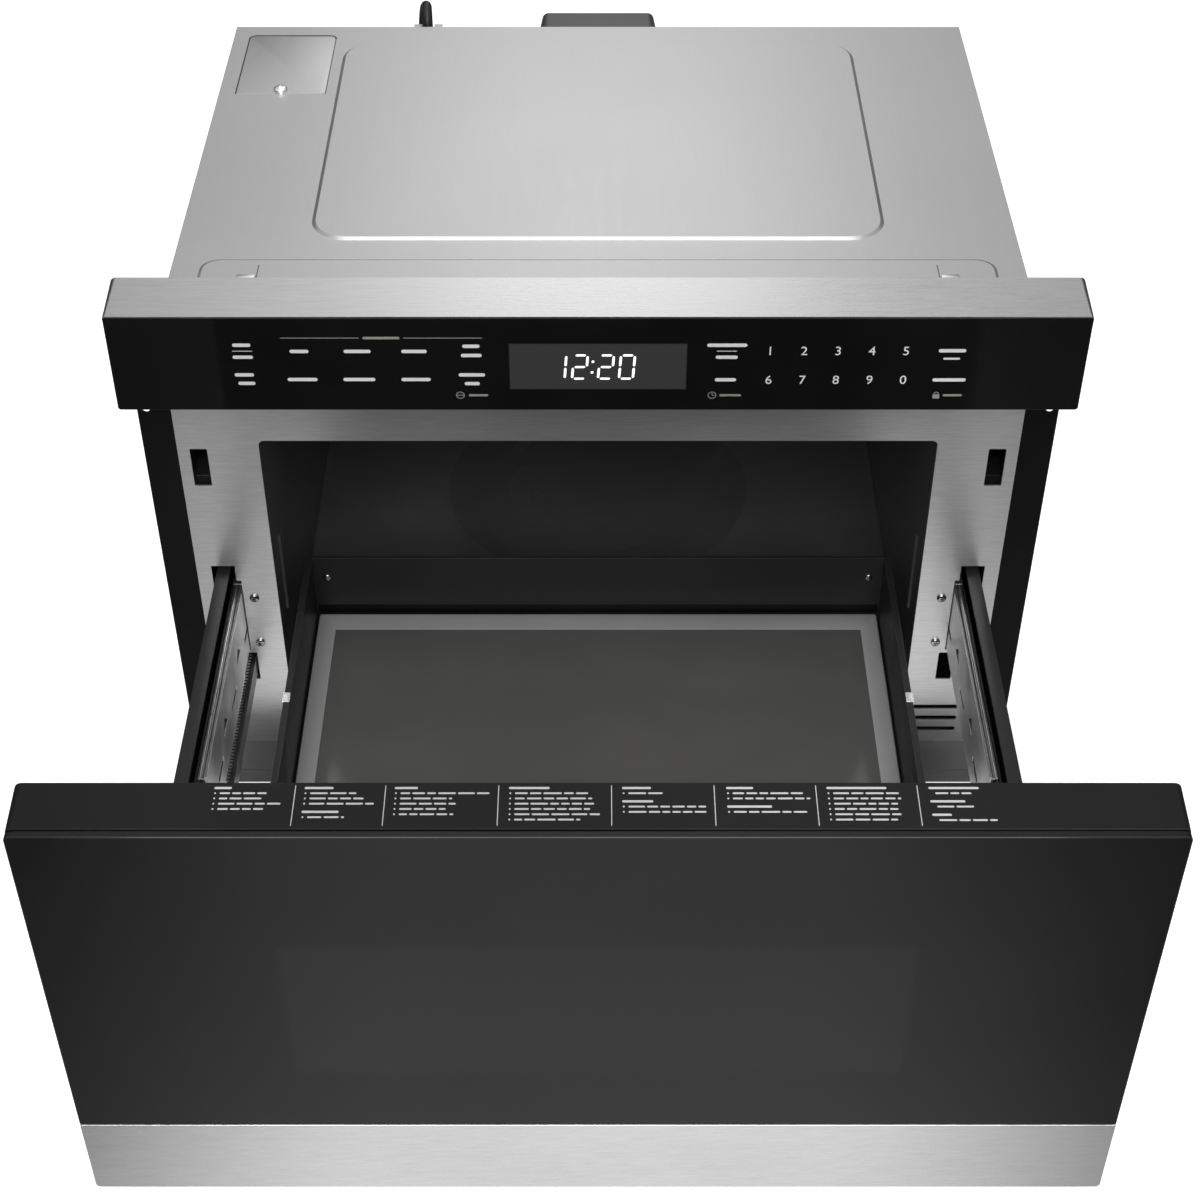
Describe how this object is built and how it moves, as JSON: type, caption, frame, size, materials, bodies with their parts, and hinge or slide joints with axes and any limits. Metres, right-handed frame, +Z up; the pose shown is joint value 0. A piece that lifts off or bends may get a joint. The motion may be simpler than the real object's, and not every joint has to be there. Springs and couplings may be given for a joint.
{
  "type": "microwave drawer",
  "caption": "Built-in microwave drawer with a powered glass front that slides out on ball-bearing slides, a cavity behind it, and a touch control panel above.",
  "frame": {"origin": "underside of the base pan, on the centre line, in the plane of the cabinet front (rear face of the mounting flanges)", "axes": "+X to the right seen from the front, +Y into the cabinet, +Z up; the drawer is drawn fully open at rest and closes towards +Y"},
  "size_m": [0.6062, 1.0604, 0.4084],
  "materials": {
    "galvanised": "satin",
    "stainless": "brushed",
    "plated_steel": "satin",
    "black_steel": "satin",
    "black_plastic": "satin",
    "black_glass": "gloss",
    "enamel": "gloss",
    "mica_glass": "satin",
    "aluminium": "satin",
    "tray_glass": "gloss",
    "tray_frame": "satin",
    "grey_plastic": "satin",
    "white_plastic": "satin",
    "motor_steel": "satin",
    "copper_winding": "varnished",
    "circuit_board": "satin",
    "cord_black": "satin",
    "brass": "satin"
  },
  "bodies": {
    "chassis": {"base_pan": "galvanised", "face_plate": "stainless", "mount_flanges": "black_steel", "side_panels": "galvanised", "back_panel": "galvanised", "top_cover": "galvanised", "access_cover": "galvanised", "component_tray": "galvanised", "casing_screws": "plated_steel", "cavity_liner": "enamel", "antenna_cover": "mica_glass", "antenna_well": "enamel", "floor_waveguide": "galvanised", "rear_waveguide": "galvanised", "antenna_motor": "motor_steel", "magnetron": "plated_steel", "transformer_core": "motor_steel", "transformer_windings": "copper_winding", "hv_capacitor": "plated_steel", "fan_shroud": "galvanised", "fan_motor": "motor_steel", "control_housing": "black_plastic", "control_trim": "stainless", "control_glass": "black_glass", "control_board": "circuit_board", "control_rear_cover": "black_plastic", "slide_brackets": "galvanised", "slide_cabinet_members": "plated_steel", "drive_gearbox": "black_plastic", "drive_motor": "motor_steel", "latch_brackets": "galvanised", "strain_relief": "cord_black", "cord_clip": "galvanised", "cord_run": "cord_black", "cord_coil": "cord_black", "plug_body": "cord_black", "plug_blades": "brass"},
    "drawer": {"drawer_frame": "black_plastic", "drawer_glass": "black_glass", "drawer_trim": "stainless", "inner_panel": "black_steel", "window_screen": "black_steel", "choke_cover": "black_plastic", "latch_hooks": "grey_plastic", "support_arms": "black_steel", "slide_drawer_members": "plated_steel", "drive_rack": "grey_plastic", "bin_sides": "black_steel", "bin_rear_wall": "black_steel", "bin_screws": "plated_steel", "bin_clips": "plated_steel", "tray_frame": "tray_frame", "glass_tray": "tray_glass"},
    "slide_mid_right": {"slide_mid_right": "plated_steel"},
    "slide_mid_left": {"slide_mid_left": "plated_steel"},
    "ball_cages_outer": {"ball_cages_outer": "plated_steel"},
    "ball_cages_inner": {"ball_cages_inner": "plated_steel"},
    "pinion": {"drive_pinion": "white_plastic"},
    "stirrer": {"stirrer_antenna": "aluminium"},
    "fan": {"fan_rotor": "white_plastic"}
  },
  "joints": [
    {"name": "drawer_slide", "type": "slide", "parent": "chassis", "child": "drawer", "axis": [0, 1, 0], "range_m": [0, 0.3556]},
    {"name": "mid_slide_right", "type": "slide", "parent": "chassis", "child": "slide_mid_right", "axis": [0, 1, 0], "range_m": [0, 0.1778]},
    {"name": "mid_slide_left", "type": "slide", "parent": "chassis", "child": "slide_mid_left", "axis": [0, 1, 0], "range_m": [0, 0.1778]},
    {"name": "outer_cage_slide", "type": "slide", "parent": "chassis", "child": "ball_cages_outer", "axis": [0, 1, 0], "range_m": [0, 0.0889]},
    {"name": "inner_cage_slide", "type": "slide", "parent": "chassis", "child": "ball_cages_inner", "axis": [0, 1, 0], "range_m": [0, 0.2667]},
    {"name": "pinion_spin", "type": "hinge", "parent": "chassis", "child": "pinion", "pos_m": [-0.2614, 0.018, 0.077], "axis": [0, 0, 1], "range_deg": [-5, 2045]},
    {"name": "stirrer_spin", "type": "hinge", "parent": "chassis", "child": "stirrer", "pos_m": [0, 0.245, 0.03], "axis": [0, 0, 1], "continuous": true},
    {"name": "fan_spin", "type": "hinge", "parent": "chassis", "child": "fan", "pos_m": [0.16, 0.324, 0.328], "axis": [0, 1, 0], "continuous": true}
  ],
  "couplings": [
    {"joint": "mid_slide_right", "follows": "drawer_slide", "ratio": 0.5},
    {"joint": "mid_slide_left", "follows": "drawer_slide", "ratio": 0.5},
    {"joint": "outer_cage_slide", "follows": "drawer_slide", "ratio": 0.25},
    {"joint": "inner_cage_slide", "follows": "drawer_slide", "ratio": 0.75},
    {"joint": "pinion_spin", "follows": "drawer_slide", "rad_per_m": 100}
  ]
}
